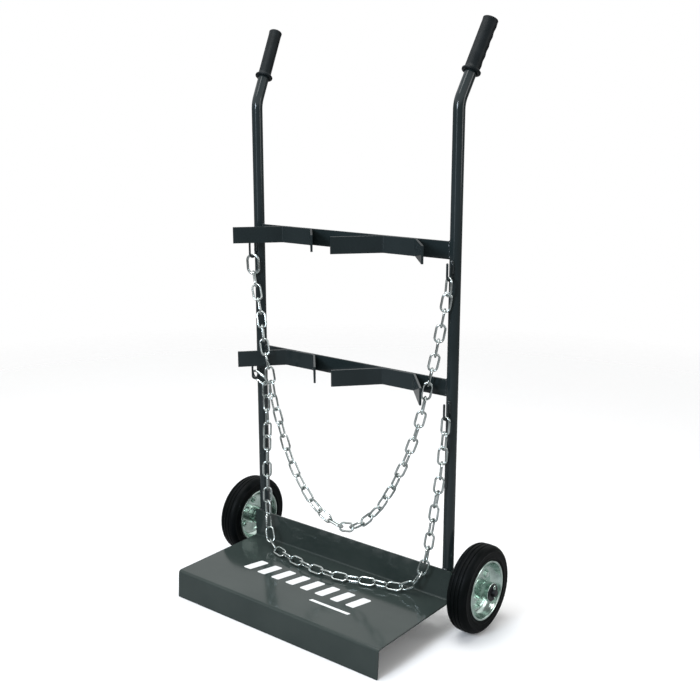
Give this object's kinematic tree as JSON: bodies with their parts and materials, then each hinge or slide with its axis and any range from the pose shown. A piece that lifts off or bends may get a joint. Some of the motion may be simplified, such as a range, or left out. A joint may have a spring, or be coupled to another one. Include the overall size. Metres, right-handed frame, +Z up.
{
  "type": "oxy acetylene torch cart",
  "caption": "Upright tube-frame hand cart with two rear wheels, a folded floor plate, bent cradle bars and retaining chains for a pair of gas cylinders.",
  "frame": {"origin": "on the floor, under the middle of the cart's bounding box", "axes": "+Z up, +Y to the back where the wheels and handles are, +X to the right of someone who faces the cart's front"},
  "size_m": [0.785, 0.41, 1.321],
  "materials": {
    "frame_coat": "gloss powder coat, blue-black",
    "zinc_plate": "bright zinc plate",
    "tyre_rubber": "matte",
    "grip_rubber": "satin vinyl",
    "bearing_steel": "ground",
    "black_steel": "black oxide"
  },
  "bodies": {
    "frame": {"base_plate": "frame_coat", "left_upright": "frame_coat", "left_grip": "grip_rubber", "upper_left_cradle": "frame_coat", "lower_left_cradle": "frame_coat", "upper_left_hook": "frame_coat", "lower_left_hook": "frame_coat", "upper_chain_left_end_link": "zinc_plate", "lower_chain_left_end_link": "zinc_plate", "left_axle_spacer": "zinc_plate", "left_axle_washer": "black_steel", "left_cotter_pin": "zinc_plate", "left_inner_bearing_inner_race": "bearing_steel", "left_outer_bearing_inner_race": "bearing_steel", "right_upright": "frame_coat", "right_grip": "grip_rubber", "upper_right_cradle": "frame_coat", "lower_right_cradle": "frame_coat", "upper_right_hook": "frame_coat", "lower_right_hook": "frame_coat", "upper_chain_right_end_link": "zinc_plate", "lower_chain_right_end_link": "zinc_plate", "right_axle_spacer": "zinc_plate", "right_axle_washer": "black_steel", "right_cotter_pin": "zinc_plate", "right_inner_bearing_inner_race": "bearing_steel", "right_outer_bearing_inner_race": "bearing_steel", "upper_crossbar": "frame_coat", "lower_crossbar": "frame_coat", "upper_chain": "zinc_plate", "lower_chain": "zinc_plate", "axle": "black_steel"},
    "left_wheel": {"left_wheel_tyre": "tyre_rubber", "left_wheel_outer_rim": "zinc_plate", "left_wheel_inner_rim": "zinc_plate", "left_wheel_hub": "zinc_plate", "left_inner_bearing_outer_race": "bearing_steel", "left_outer_bearing_outer_race": "bearing_steel", "left_rim_bolt_1": "zinc_plate", "left_rim_bolt_2": "zinc_plate", "left_rim_bolt_3": "zinc_plate"},
    "right_wheel": {"right_wheel_tyre": "tyre_rubber", "right_wheel_outer_rim": "zinc_plate", "right_wheel_inner_rim": "zinc_plate", "right_wheel_hub": "zinc_plate", "right_inner_bearing_outer_race": "bearing_steel", "right_outer_bearing_outer_race": "bearing_steel", "right_rim_bolt_1": "zinc_plate", "right_rim_bolt_2": "zinc_plate", "right_rim_bolt_3": "zinc_plate"}
  },
  "joints": [
    {"name": "left_wheel_spin", "type": "hinge", "parent": "frame", "child": "left_wheel", "pos_m": [-0.345, 0.105, 0.1], "axis": [1, 0, 0], "continuous": true},
    {"name": "right_wheel_spin", "type": "hinge", "parent": "frame", "child": "right_wheel", "pos_m": [0.345, 0.105, 0.1], "axis": [1, 0, 0], "continuous": true}
  ]
}
